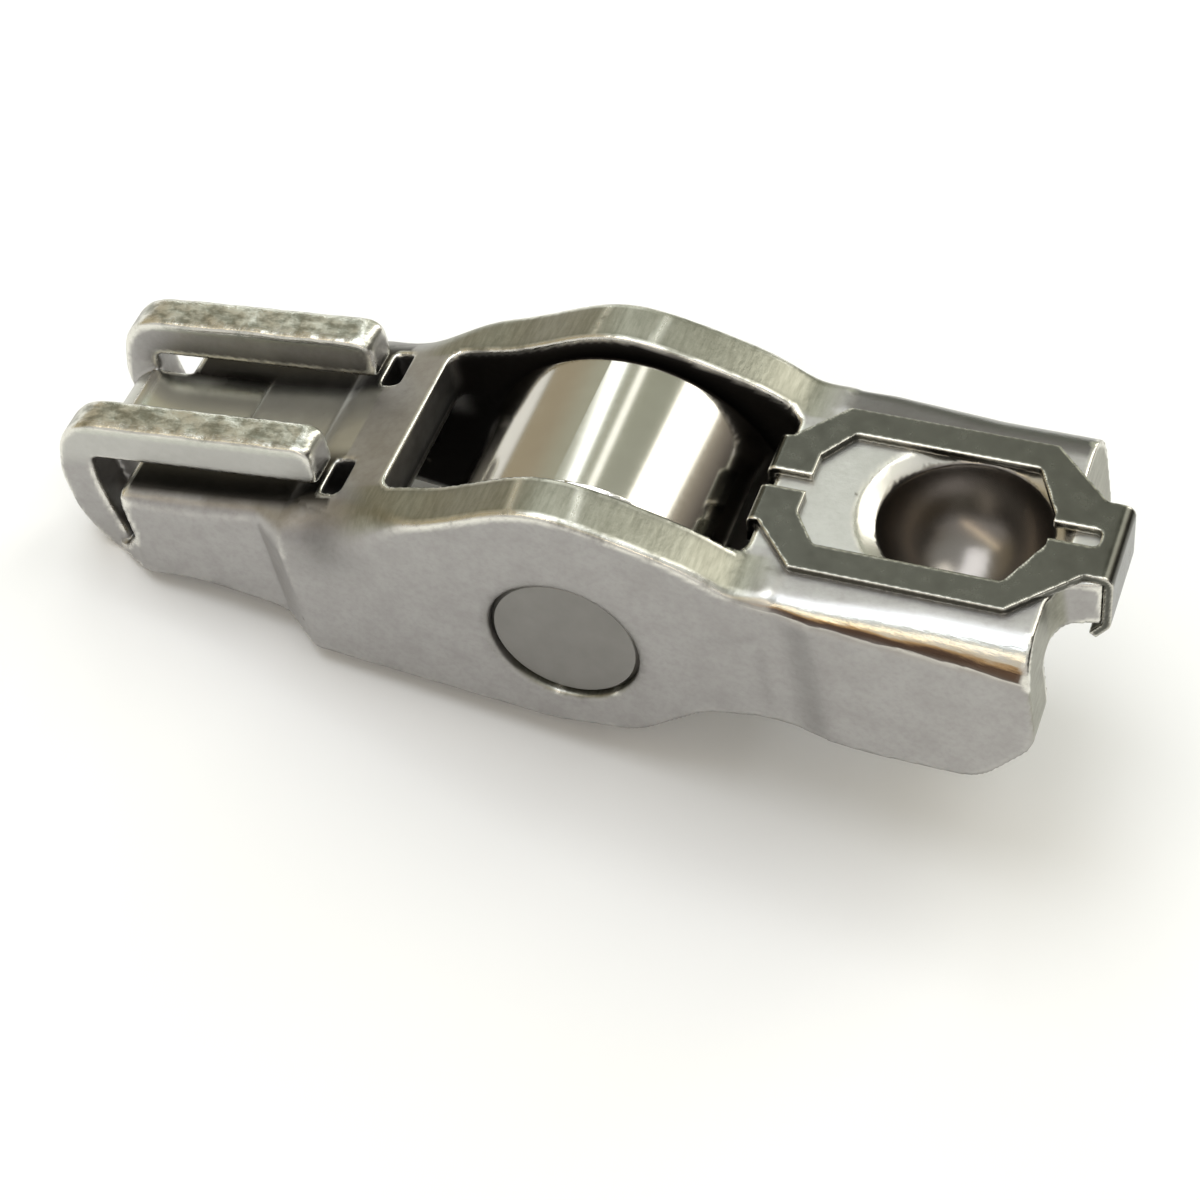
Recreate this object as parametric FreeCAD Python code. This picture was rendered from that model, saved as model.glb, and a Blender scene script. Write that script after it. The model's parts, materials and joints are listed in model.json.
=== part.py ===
import FreeCAD, Part
import math
import os

# Roller finger follower: a stamped steel arm with a ball socket at one end,
# a valve pad between two guide ears at the other, and a cam roller on
# needle rollers between its walls. Lengths are in millimetres.
#
# The arm is drawn with the pin centre at x = 0, z = 0. X runs along the arm
# from the valve end to the socket end, Y along the pin, and Z points out of
# the ball socket. At the end every piece is laid down as the follower rests
# on a bench, and the socket centre becomes the origin.

# sheet metal
sheet = 2.7
cut_edge_round = 0.3
fold_inner_radius = 0.6

# roller, pin and needles
pin_diameter = 8.0
pin_end_chamfer = 0.25
pin_recess = 0.32
pin_hole_chamfer = 0.15
pin_hole_clearance = 0.01
ring_wall = 2.58
ring_bore_chamfer = 0.25
roller_width = 9.5
roller_edge_round = 0.5
roller_side_clearance = 0.27
needle_diameter = 1.6
needle_end_gap = 0.45
needle_end_round = 0.2
needle_running_clearance = 0.02
needle_spacing_clearance = 0.06

# window that the roller stands in
window_roller_clearance = 1.28
window_corner = 1.0

# outside widths of the two ends
valve_end_width = 13.0
pivot_end_width = 16.0

# lengths from the window's end, towards the valve
ear_to_window = 3.5
valve_step_to_window = 6.9
pad_to_window = 10.0
block_to_window = 14.9

# how far the hooks reach past the valve block
slit_reach = 1.55
toe_reach = 2.5
nose_reach = 4.35

# lengths from the window's end, towards the pivot
pivot_step_to_window = 2.3
socket_to_window = 9.6
wall_end_to_window = 14.5
tongue_to_window = 16.8

# how far each side step takes to reach the new width
step_run = 1.7

# heights of the arm's upper face over the pin centre
pad_top = 5.3
pad_blank = 0.05
hump_over_pin = 5.05
web_slope_deg = 6.05
web_top_at_window = 5.25

# outer fold radii
valve_fold_radius = 0.8
shoulder_radius = 2.7
pivot_fold_radius = 2.0

# lower edge of the walls
valve_bottom = -0.4
shoulder_bottom = -3.15
pin_land = 2.05
bulge_offset = 0.6
bulge_half = 2.3
waist_bottom = -3.45
pivot_bottom = -5.4
pivot_rise = 0.65
wall_end_rise = 3.0
tongue_bottom = 0.2
soft_bend = 8.0
firm_bend = 3.5
tight_bend = 1.2
blank_depth = 9.0

# ball socket
ball_radius = 4.25
ball_depth = 0.9
lead_in_radius = 5.25
lead_in_depth = 0.55
socket_wall = 1.5

# tongue that the clip hooks over
tongue_half_width = 2.6
tongue_corner = 1.1

# guide ears, hooks and rolled nose
ear_gap = 5.9
ear_thickness = 2.1
ear_height = 3.55
ear_slit = 1.1
ear_end_round = 0.9
ear_crown_radius = 3.0
hook_back_round = 4.0
hook_inner_round = 3.0
nose_radius = 2.6
nose_thickness = 2.2
nose_bottom = 0.2
toe_z = -0.75
toe_round = 0.8
slit_tip_z = 0.4
block_corner_z = 2.2
relief_width = 1.2
relief_round = 0.4

# retaining clip
clip_sheet = 0.45
clip_half_width = 5.5
clip_band = 1.7
clip_nose_half_width = 2.45
clip_left_half_width = 2.95
clip_left_taper = 2.25
clip_slot = 1.1
clip_slot_length = 2.4
clip_bend = 0.15
clip_gap = 0.05
clip_lip_drop = 1.3
clip_hook_reach = 0.6
clip_hook_drop = 0.8

# worked out from the sizes above
pin_radius = pin_diameter / 2
bore_radius = pin_radius + needle_diameter + 2 * needle_running_clearance
roller_radius = bore_radius + ring_wall
needle_length = roller_width - 2 * needle_end_gap
inner_half = roller_width / 2 + roller_side_clearance
outer_half = inner_half + sheet
valve_half = valve_end_width / 2
pivot_half = pivot_end_width / 2
window_half = roller_radius + window_roller_clearance
ear_inner = ear_gap / 2
ear_outer = ear_inner + ear_thickness
ear_top = pad_top + ear_height
ear_bottom = pad_top + ear_slit
ear_end_x = -(window_half + ear_to_window)
valve_step_x = -(window_half + valve_step_to_window)
pad_end_x = -(window_half + pad_to_window)
valve_block_x = -(window_half + block_to_window)
slit_tip_x = valve_block_x - slit_reach
toe_x = valve_block_x - toe_reach
nose_x = valve_block_x - nose_reach
pivot_step_x = window_half + pivot_step_to_window
socket_x = window_half + socket_to_window
wall_end_x = window_half + wall_end_to_window
tongue_end_x = window_half + tongue_to_window
hump_top = pin_radius + hump_over_pin
blank_top = pad_top + pad_blank
web_slope = math.radians(web_slope_deg)
FAR = 60.0


def vec(x, y, z):
    return FreeCAD.Vector(x, y, z)


def web_top(x):
    """Height of the web's upper face between the window and the tongue."""
    return web_top_at_window - math.tan(web_slope) * (x - window_half)


def rounded_wire(corners, place):
    """Closed wire of straight runs with a tangent arc at each corner.

    corners holds (u, v, radius), and place turns (u, v) into a point.
    """
    edges = []
    count = len(corners)
    ends = []
    for i in range(count):
        u, v, radius = corners[i]
        before = corners[i - 1]
        after = corners[(i + 1) % count]
        into = FreeCAD.Vector(u - before[0], v - before[1], 0).normalize()
        out = FreeCAD.Vector(after[0] - u, after[1] - v, 0).normalize()
        turn = into.getAngle(out)
        if radius <= 0 or turn < 1e-6:
            ends.append((place(u, v), None, place(u, v)))
            continue
        cut = radius * math.tan(turn / 2)
        start = (u - into.x * cut, v - into.y * cut)
        stop = (u + out.x * cut, v + out.y * cut)
        to_centre = (out - into).normalize()
        reach = radius / math.cos(turn / 2)
        middle = (u + to_centre.x * (reach - radius), v + to_centre.y * (reach - radius))
        ends.append((place(*start), place(*middle), place(*stop)))
    for i in range(count):
        start, middle, stop = ends[i]
        if middle is not None:
            edges.append(Part.Arc(start, middle, stop).toShape())
        following = ends[(i + 1) % count][0]
        if stop.distanceToPoint(following) > 1e-6:
            edges.append(Part.makeLine(stop, following))
    return Part.Wire(edges)


def side_plate(corners, y_low, y_high):
    """Plate with a side outline in X and Z, between two Y values."""
    wire = rounded_wire(corners, lambda u, v: vec(u, y_low, v))
    return Part.Face(wire).extrude(vec(0, y_high - y_low, 0))


def plan_plate(corners, z_low, z_high):
    """Plate with a plan outline in X and Y, between two heights."""
    wire = rounded_wire(corners, lambda u, v: vec(u, v, z_low))
    return Part.Face(wire).extrude(vec(0, 0, z_high - z_low))


def mirrored(half_outline):
    """Closed outline from its corners on one side of the middle plane."""
    other = [(u, -v, radius) for u, v, radius in reversed(half_outline)]
    return half_outline + other


def both_sides(shape):
    """The shape and its mirror image across the arm's middle plane."""
    return [shape, shape.mirror(vec(0, 0, 0), vec(0, 1, 0))]


def fold_section(x, half_width, top, radius, bottom):
    """Closed section across the arm with a rounded fold at each shoulder."""
    lean = radius * (1 - math.sqrt(0.5))
    left = -half_width
    right = half_width
    low_left = vec(x, left, bottom)
    low_right = vec(x, right, bottom)
    wall_left = vec(x, left, top - radius)
    wall_right = vec(x, right, top - radius)
    top_left = vec(x, left + radius, top)
    top_right = vec(x, right - radius, top)
    arc_left = Part.Arc(wall_left, vec(x, left + lean, top - lean), top_left).toShape()
    arc_right = Part.Arc(top_right, vec(x, right - lean, top - lean), wall_right).toShape()
    return Part.Wire([
        Part.makeLine(low_left, wall_left),
        arc_left,
        Part.makeLine(top_left, top_right),
        arc_right,
        Part.makeLine(wall_right, low_right),
        Part.makeLine(low_right, low_left),
    ])


def stations():
    """Runs of (x, half width, top, fold radius) along the arm."""
    valve_end = [
        (toe_x, ear_outer, blank_top, valve_fold_radius),
        (valve_block_x, valve_half, blank_top, valve_fold_radius),
        (pad_end_x, valve_half, blank_top, valve_fold_radius + 0.25),
        (valve_step_x, valve_half, blank_top + 0.15, valve_fold_radius + 0.1),
    ]
    left_x = valve_step_x + step_run
    swell = hump_top - pad_top
    right_drop = hump_top - web_top_at_window
    middle = [
        (left_x, outer_half, pad_top + 0.10 * swell, shoulder_radius - 0.7),
        (-window_half - 2.0, outer_half, pad_top + 0.29 * swell, shoulder_radius),
        (-window_half, outer_half, pad_top + 0.42 * swell, shoulder_radius - 0.9),
        (-0.79 * window_half, outer_half, pad_top + 0.52 * swell, 0.7),
        (-0.58 * window_half, outer_half, pad_top + 0.62 * swell, cut_edge_round),
        (-0.37 * window_half, outer_half, pad_top + 0.80 * swell, cut_edge_round),
        (-0.16 * window_half, outer_half, pad_top + 0.96 * swell, cut_edge_round),
        (0.03 * window_half, outer_half, hump_top, cut_edge_round),
        (0.26 * window_half, outer_half, hump_top - 0.12 * right_drop, cut_edge_round),
        (0.47 * window_half, outer_half, hump_top - 0.31 * right_drop, cut_edge_round),
        (0.68 * window_half, outer_half, hump_top - 0.53 * right_drop, cut_edge_round),
        (0.86 * window_half, outer_half, hump_top - 0.77 * right_drop, 0.4),
        (0.98 * window_half, outer_half, hump_top - 0.96 * right_drop, 0.5),
        (window_half + 1.0, outer_half, web_top(window_half + 1.0), 0.7),
        (pivot_step_x, outer_half, web_top(pivot_step_x), 0.9),
    ]
    right_x = pivot_step_x + step_run
    pivot_end = [
        (right_x, pivot_half, web_top(right_x), 1.3),
        (socket_x, pivot_half, web_top(socket_x), pivot_fold_radius),
        (tongue_end_x, pivot_half, web_top(tongue_end_x), pivot_fold_radius),
    ]
    return valve_end, middle, pivot_end


def arm_loft(inset, bottom):
    """Solid through the fold sections, drawn in by the inset all round."""
    solids = []
    runs = stations()
    ordered = [
        (runs[0], True),
        ([runs[0][-1], runs[1][0]], True),
        (runs[1], False),
        ([runs[1][-1], runs[2][0]], True),
        (runs[2], True),
    ]
    for run, straight in ordered:
        wires = []
        for x, half_width, top, radius in run:
            fold = radius
            if inset > 0:
                fold = fold_inner_radius
            wires.append(fold_section(x, half_width - inset, top - inset, fold, bottom))
        solids.append(Part.makeLoft(wires, True, straight))
    return solids[0].multiFuse(solids[1:]).removeSplitter()


def side_region():
    """Everything above the walls' lower edge, as one thick plate."""
    under_pin = -(pin_radius + pin_land)
    corners = [
        (-FAR, FAR, 0),
        (-FAR, valve_bottom, 0),
        (pad_end_x - 2.0, valve_bottom, soft_bend),
        (valve_step_x - 0.8, valve_bottom - 1.2, firm_bend),
        (valve_step_x + step_run + 0.2, shoulder_bottom, tight_bend),
        (bulge_offset - bulge_half, under_pin, firm_bend + 1.5),
        (bulge_offset + bulge_half, under_pin, firm_bend),
        (pivot_step_x - 4.8, waist_bottom - 0.25, firm_bend),
        (pivot_step_x - 1.6, waist_bottom, firm_bend),
        (socket_x - 3.6, pivot_bottom + pivot_rise, soft_bend),
        (wall_end_x - 3.1, pivot_bottom, 2 * tight_bend),
        (wall_end_x, pivot_bottom + wall_end_rise, 2 * tight_bend),
        (wall_end_x, tongue_bottom, 0),
        (FAR, tongue_bottom, 0),
        (FAR, FAR, 0),
    ]
    return side_plate(corners, -FAR, FAR)


def end_corners():
    """What is cut from the web's end beside the tongue, on one side."""
    corners = [
        (wall_end_x, FAR, 0),
        (wall_end_x, tongue_half_width + 1.6, 0.8),
        (wall_end_x + 0.45, tongue_half_width + 0.35, tongue_corner),
        (tongue_end_x - 0.2, tongue_half_width - 0.1, 0.5),
        (FAR, tongue_half_width - 0.5, 0),
        (FAR, FAR, 0),
    ]
    return plan_plate(corners, -FAR, FAR)


def past_tongue():
    """What is cut square to the web past the tongue's end."""
    return on_web(Part.makeBox(FAR, FAR, FAR, vec(along_web(tongue_end_x), -FAR / 2, -FAR / 2)))


def on_web(shape):
    """Carry a shape from the clip's own plane to the web's upper face."""
    placed = shape.copy()
    placed.rotate(vec(0, 0, 0), vec(0, 1, 0), web_slope_deg)
    placed.translate(vec(window_half, 0, web_top_at_window))
    return placed


def along_web(x):
    """Distance along the sloping web from the window's edge to x."""
    return (x - window_half) / math.cos(web_slope)


def socket_centre():
    """Centre of the ball socket's sphere, in the arm's own directions."""
    return vec(
        socket_x - ball_depth * math.sin(web_slope),
        0,
        web_top(socket_x) - ball_depth * math.cos(web_slope),
    )


def below_ball_centre():
    """Everything under the ball's middle, in the web's own plane."""
    return Part.makeBox(FAR, FAR, FAR, vec(0, -FAR / 2, -ball_depth - FAR))


def socket_cut():
    """The ball's hollow with its lead-in, opening through the web's face."""
    centre = vec(along_web(socket_x), 0, -ball_depth)
    ball = Part.makeSphere(ball_radius, centre).common(below_ball_centre())
    neck = Part.makeCylinder(ball_radius, ball_depth - lead_in_depth, centre)
    above = 0.5
    mouth_radius = lead_in_radius + above * (lead_in_radius - ball_radius) / lead_in_depth
    shoulder = vec(along_web(socket_x), 0, -lead_in_depth)
    lead_in = Part.makeCone(ball_radius, mouth_radius, lead_in_depth + above, shoulder)
    return on_web(ball.multiFuse([neck, lead_in]))


def socket_boss():
    """The drawn dome round the socket, under the web."""
    centre = vec(along_web(socket_x), 0, -ball_depth)
    dome = Part.makeSphere(ball_radius + socket_wall, centre)
    return on_web(dome.common(below_ball_centre()))


def hook_outline():
    """Side outline of a guide ear with the hook that carries it."""
    inner_x = nose_x + nose_thickness
    return [
        (ear_end_x, ear_top, ear_end_round),
        (nose_x + 1.15, ear_top, ear_crown_radius),
        (nose_x, 4.9, hook_back_round),
        (nose_x + 0.15, 2.2, hook_back_round),
        (nose_x + 0.85, 0.6, hook_back_round / 2),
        (toe_x, toe_z, toe_round),
        (valve_block_x, valve_bottom, 0),
        (valve_block_x, slit_tip_z + 0.2, 0),
        (slit_tip_x, slit_tip_z, 0.2),
        (inner_x + 0.15, 2.9, hook_inner_round),
        (inner_x, 4.6, hook_inner_round),
        (inner_x + 0.2, ear_bottom, 0.5),
        (ear_end_x, ear_bottom, 0.4),
    ]


def slit():
    """The opening sheared between the hook and the wall, on one side."""
    corners = [
        (slit_tip_x, slit_tip_z, 0),
        (valve_block_x, block_corner_z, 0),
        (valve_block_x, FAR, 0),
        (nose_x - 1.0, FAR, 0),
        (nose_x - 1.0, slit_tip_z, 0),
    ]
    return side_plate(corners, ear_inner, FAR)


def nose():
    """The pad's end, rolled down between the two hooks."""
    inner_x = nose_x + nose_thickness
    corners = [
        (pad_end_x, pad_top, 0),
        (nose_x, pad_top, nose_radius),
        (nose_x, nose_bottom, 0.5),
        (inner_x, nose_bottom, 0.3),
        (inner_x, pad_top - sheet, fold_inner_radius),
        (pad_end_x, pad_top - sheet, 0),
    ]
    return side_plate(corners, -ear_inner, ear_inner)


def relief():
    """Relief notch through the web past the ear's free end, on one side."""
    corners = [
        (ear_end_x, ear_inner - 0.15, relief_round),
        (ear_end_x + relief_width, ear_inner - 0.15, relief_round),
        (ear_end_x + relief_width, ear_outer + 0.15, relief_round),
        (ear_end_x, ear_outer + 0.15, relief_round),
    ]
    return plan_plate(corners, 0, FAR)


def clip_seat():
    """What is pressed flat above the web where the clip lies."""
    length = along_web(tongue_end_x) + 2.0
    half = clip_half_width + 0.1
    return on_web(Part.makeBox(length, 2 * half, FAR, vec(-0.6, -half, 0)))


def pad_ground():
    """What is ground off the pad between the ears."""
    start = nose_x + nose_radius
    return Part.makeBox(pad_end_x - start, ear_gap, FAR, vec(start, -ear_inner, pad_top))


def window():
    """The window through the web that the roller stands in."""
    corners = [
        (-window_half, -inner_half, window_corner),
        (window_half, -inner_half, window_corner),
        (window_half, inner_half, window_corner),
        (-window_half, inner_half, window_corner),
    ]
    return plan_plate(corners, -FAR, FAR)


def pin_hole():
    """The pin's hole through both walls, chamfered outside."""
    radius = pin_radius + pin_hole_clearance
    hole = Part.makeCylinder(radius, FAR, vec(0, -FAR / 2, 0), vec(0, 1, 0))
    chamfer = Part.makeCone(
        radius,
        radius + 2 * pin_hole_chamfer,
        2 * pin_hole_chamfer,
        vec(0, outer_half - pin_hole_chamfer, 0),
        vec(0, 1, 0),
    )
    return hole.fuse(both_sides(chamfer))


def hook():
    """A guide ear with its hook, its outer edges worn round, on one side."""
    plate = side_plate(hook_outline(), ear_inner, ear_outer)
    worn = []
    for edge in plate.Edges:
        box = edge.BoundBox
        if box.ZMin > ear_bottom + cut_edge_round and box.YLength < 1e-6:
            worn.append(edge)
    return plate.makeFillet(cut_edge_round, worn)


def arm():
    """The stamped arm, one solid."""
    body = arm_loft(0, -blank_depth).cut(arm_loft(sheet, -blank_depth - sheet))
    body = body.common(side_region())
    body = body.fuse(socket_boss())
    body = body.cut(both_sides(end_corners()) + [past_tongue(), window(), clip_seat(), socket_cut()])
    body = body.cut(both_sides(slit()) + both_sides(relief()))
    body = body.multiFuse([nose()] + both_sides(hook()))
    body = body.cut([pad_ground(), pin_hole()])
    return body.removeSplitter()


def roller_pin():
    """The axle, a little short of the walls' outer faces."""
    half = outer_half - pin_recess
    rod = Part.makeCylinder(pin_radius, 2 * half, vec(0, -half, 0), vec(0, 1, 0))
    return rod.makeChamfer(pin_end_chamfer, end_edges(rod, half))


def end_edges(turned, half):
    """The circular edges at the two ends of a piece turned about Y."""
    found = []
    for edge in turned.Edges:
        box = edge.BoundBox
        if box.YLength < 1e-6 and abs(abs(box.YMin) - half) < 1e-6:
            found.append(edge)
    return found


def roller_ring():
    """The outer ring that the cam lobe runs on."""
    half = roller_width / 2
    base = vec(0, -half, 0)
    along = vec(0, 1, 0)
    blank = Part.makeCylinder(roller_radius, roller_width, base, along)
    blank = blank.makeFillet(roller_edge_round, end_edges(blank, half))
    bore = Part.makeCylinder(bore_radius, roller_width, base, along)
    mouth = Part.makeCone(
        bore_radius,
        bore_radius + 2 * ring_bore_chamfer,
        2 * ring_bore_chamfer,
        vec(0, half - ring_bore_chamfer, 0),
        along,
    )
    return blank.cut([bore] + both_sides(mouth))


def needles():
    """The full complement of needle rollers between pin and ring."""
    pitch_radius = pin_radius + needle_running_clearance + needle_diameter / 2
    spacing = needle_diameter + needle_spacing_clearance
    count = int(math.pi / math.asin(spacing / (2 * pitch_radius)))
    half = needle_length / 2
    rollers = []
    for i in range(count):
        angle = 2 * math.pi * i / count
        base = vec(pitch_radius * math.cos(angle), -half, pitch_radius * math.sin(angle))
        rod = Part.makeCylinder(needle_diameter / 2, needle_length, base, vec(0, 1, 0))
        rollers.append(rod.makeFillet(needle_end_round, end_edges(rod, half)))
    return rollers


def retaining_clip():
    """The thin octagonal spring clip, hooked over window edge and tongue."""
    t = clip_sheet
    leg = along_web(tongue_end_x) + clip_gap
    hook_w = -(sheet + 0.05)
    lip = -clip_gap
    side = side_plate([
        (lip - t, -clip_lip_drop, 0),
        (lip, -clip_lip_drop, 0),
        (lip, 0, 0),
        (leg, 0, clip_bend),
        (leg, hook_w, 0.3),
        (leg - clip_hook_reach, hook_w - clip_hook_drop, 0),
        (leg - clip_hook_reach + 0.8 * t, hook_w - clip_hook_drop - 0.6 * t, 0),
        (leg + t, hook_w - 0.15, 0.7),
        (leg + t, t, clip_bend + t),
        (lip - t, t, t),
    ], -FAR, FAR)
    taper = clip_half_width - clip_nose_half_width
    left = lip - t - 0.1
    flat_end = along_web(tongue_end_x) - 0.9 - taper
    outline = plan_plate(mirrored([
        (left, clip_left_half_width, 0),
        (0.1, clip_left_half_width, 0.2),
        (0.1 + clip_left_taper, clip_half_width, 0.3),
        (flat_end, clip_half_width, 0.3),
        (flat_end + taper, clip_nose_half_width, 0.3),
        (leg + 2, clip_nose_half_width, 0),
    ]), -FAR, FAR)
    opening_half = clip_half_width - clip_band
    opening_start = 0.1 + clip_left_taper - 0.5
    opening_end = flat_end + 0.85
    opening = plan_plate(mirrored([
        (opening_start, opening_half - 1.85, 0.2),
        (opening_start + 1.3, opening_half, 0.3),
        (opening_end - 1.4, opening_half, 0.3),
        (opening_end, opening_half - 2.8, 0.2),
    ]), -FAR, FAR)
    slots = plan_plate(mirrored([
        (-FAR, clip_slot / 2, 0),
        (opening_end + clip_slot_length, clip_slot / 2, 0.3),
    ]), -FAR, FAR)
    return on_web(side.common(outline).cut([opening, slots]))


def rest_tilt_deg():
    """Angle from the arm's own X to the bench it rests on.

    The follower rests on its roller and on the rounded toes of the hooks.
    """
    outline = hook_outline()
    index = outline.index((toe_x, toe_z, toe_round))
    before = outline[index - 1]
    after = outline[index + 1]
    into = FreeCAD.Vector(toe_x - before[0], toe_z - before[1], 0).normalize()
    out = FreeCAD.Vector(after[0] - toe_x, after[1] - toe_z, 0).normalize()
    to_centre = (out - into).normalize()
    reach = toe_round / math.cos(into.getAngle(out) / 2)
    centre_x = toe_x + to_centre.x * reach
    centre_z = toe_z + to_centre.y * reach
    lead = math.atan2(centre_z, -centre_x)
    span = math.hypot(centre_x, centre_z)
    return math.degrees(lead + math.asin((roller_radius - toe_round) / span))


def lay_down(shape):
    """Move a piece to the socket's centre and tilt it to its rest."""
    placed = shape.copy()
    placed.translate(socket_centre() * -1)
    placed.rotate(vec(0, 0, 0), vec(0, 1, 0), -rest_tilt_deg())
    return placed


def main():
    """Build every piece and write one file for each."""
    os.makedirs("parts", exist_ok=True)
    pieces = {
        "arm": arm(),
        "roller_pin": roller_pin(),
        "roller_ring": roller_ring(),
        "retaining_clip": retaining_clip(),
    }
    for i, needle in enumerate(needles()):
        pieces["needle_%02d" % (i + 1)] = needle
    for name, shape in pieces.items():
        lay_down(shape).exportStep("parts/%s.step" % name)


main()
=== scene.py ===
"""Looks of a roller finger follower: stamped arm, cam roller on needles, spring clip.

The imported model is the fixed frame. The arm and the clip get an even, finely
meshed copy of their solid with the sheared edges worn round, and every other
node keeps its solid. Each node gets its finish here.
"""
import json
import logging
import math
from dataclasses import dataclass
from enum import Enum

import bpy
import numpy as np
from mathutils import Matrix, Vector, noise


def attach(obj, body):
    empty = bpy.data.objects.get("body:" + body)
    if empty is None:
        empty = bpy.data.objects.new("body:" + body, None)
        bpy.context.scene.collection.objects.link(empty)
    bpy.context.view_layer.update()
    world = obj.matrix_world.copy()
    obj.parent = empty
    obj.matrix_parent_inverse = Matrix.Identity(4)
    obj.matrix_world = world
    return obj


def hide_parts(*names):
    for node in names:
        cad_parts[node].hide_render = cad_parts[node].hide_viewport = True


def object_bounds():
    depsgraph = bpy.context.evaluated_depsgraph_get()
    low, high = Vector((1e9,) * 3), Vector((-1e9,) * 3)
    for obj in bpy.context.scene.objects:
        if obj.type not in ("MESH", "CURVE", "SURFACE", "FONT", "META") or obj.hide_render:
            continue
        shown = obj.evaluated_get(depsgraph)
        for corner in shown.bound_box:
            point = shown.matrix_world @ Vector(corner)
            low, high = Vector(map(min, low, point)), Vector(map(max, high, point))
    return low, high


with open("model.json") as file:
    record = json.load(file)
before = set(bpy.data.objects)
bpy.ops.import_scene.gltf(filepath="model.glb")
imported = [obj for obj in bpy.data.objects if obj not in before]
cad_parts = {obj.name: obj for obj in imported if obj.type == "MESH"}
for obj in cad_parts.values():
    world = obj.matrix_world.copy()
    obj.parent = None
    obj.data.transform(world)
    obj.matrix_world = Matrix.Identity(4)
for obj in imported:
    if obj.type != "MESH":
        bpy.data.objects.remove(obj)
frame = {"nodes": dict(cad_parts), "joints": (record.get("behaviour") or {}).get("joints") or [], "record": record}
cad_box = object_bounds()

MM = 0.001
log = logging.getLogger("follower")


def linear(hex_colour: str) -> tuple[float, float, float, float]:
    """Turn an sRGB hex value into a linear colour, by the sRGB curve.

    Args:
        hex_colour: Six hex digits after a hash sign, such as "#8E8E7E".

    Returns:
        Linear red, green, blue and an alpha of one.
    """
    parts = [int(hex_colour[i:i + 2], 16) / 255 for i in (1, 3, 5)]
    red, green, blue = [
        p / 12.92 if p <= 0.04045 else ((p + 0.055) / 1.055) ** 2.4 for p in parts
    ]
    return red, green, blue, 1.0


def add_node(
    tree: bpy.types.NodeTree,
    kind: str,
    settings: dict[str, object] | None = None,
    inputs: dict[str | int, object] | None = None,
) -> bpy.types.Node:
    """Add one node with its settings, constants and links.

    Args:
        tree: Node tree that gets the node.
        kind: Blender's name of the node's class.
        settings: Attributes of the node.
        inputs: What goes into its inputs, by name or index. A socket is
            linked, and anything else is set as a constant.

    Returns:
        The new node.
    """
    node = tree.nodes.new(kind)
    for name, value in (settings or {}).items():
        setattr(node, name, value)
    for name, value in (inputs or {}).items():
        if isinstance(value, bpy.types.NodeSocket):
            tree.links.new(value, node.inputs[name])
        else:
            node.inputs[name].default_value = value
    return node


def spread_ramp(ramp: bpy.types.Node, stops: list[tuple[float, str]]) -> None:
    """Give a colour ramp its stops.

    Args:
        ramp: Colour ramp node, still with its first two stops.
        stops: Places from 0 to 1 and hex colours, in order.
    """
    elements = ramp.color_ramp.elements
    for element, (place, colour) in zip((elements[0], elements[1]), (stops[0], stops[-1])):
        element.position = place
        element.color = linear(colour)
    for place, colour in stops[1:-1]:
        elements.new(place).color = linear(colour)


def smooth_between(value: np.ndarray, low: float, high: float) -> np.ndarray:
    """Rise smoothly from 0 at low to 1 at high; low may be above high.

    Args:
        value: Values to grade.
        low: Value that gives 0.
        high: Value that gives 1.

    Returns:
        Grades from 0 to 1.
    """
    t = np.clip((value - low) / (high - low), 0.0, 1.0)
    return t * t * (3.0 - 2.0 * t)


@dataclass(frozen=True)
class ArmAxes:
    """The arm's own directions: pin centre at zero, X towards the socket."""

    pin_centre: tuple[float, float, float]
    tilt: float

    @classmethod
    def from_record(cls, record: dict, joints: list[dict]) -> "ArmAxes":
        """Read the pin's place and the arm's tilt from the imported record.

        Args:
            record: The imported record.
            joints: Its joints.

        Returns:
            The arm's axes.
        """
        spin = next(j for j in joints if j["name"] == "roller_spin")
        pad = next(m for m in record["mounts"] if m["name"] == "valve_pad")
        tilt = math.atan2(-pad["axis"][0], pad["axis"][2])
        return cls(tuple(spin["pos_m"]), tilt)

    def turn_back(self, vectors: np.ndarray) -> np.ndarray:
        """Turn directions of the frame into the arm's own.

        Args:
            vectors: One direction a row.

        Returns:
            The same directions along the arm's axes.
        """
        c, s = math.cos(self.tilt), math.sin(self.tilt)
        x, y, z = vectors.T
        return np.stack([x * c + z * s, y, z * c - x * s], axis=1)

    def to_arm(self, points: np.ndarray) -> np.ndarray:
        """Turn points of the frame in metres into arm points in millimetres.

        Args:
            points: One point a row.

        Returns:
            Points in the arm's own directions.
        """
        return self.turn_back((points - np.array(self.pin_centre)) / MM)

    def up(self) -> np.ndarray:
        """Give the arm's own upward direction in the frame."""
        return np.array([-math.sin(self.tilt), 0.0, math.cos(self.tilt)])


class Wear(Enum):
    """Grades kept on a mesh, one value a vertex, that a finish reads."""

    # Bright edges, partly worn and partly painted highlight
    RIM = "rim"
    SHEARED = "sheared"
    TORN = "torn"
    # The fold's die burnish, which also carries its painted reflection bands
    BURNISH_AND_REFLECTION = "burnish_and_reflection"
    GROUND = "ground"
    BOWL = "bowl"
    # The ground pad, with painted light on lit faces
    PAD_AND_PAINTED_LIGHT = "pad"
    # Painted shade inside the channel
    SCALED = "inside_shade"
    # Painted shade in corners, under the ears and on the clip's hidden leg
    PAINTED_SHADE = "painted_shade"
    FOLD_TURN = "fold_turn"


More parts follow.
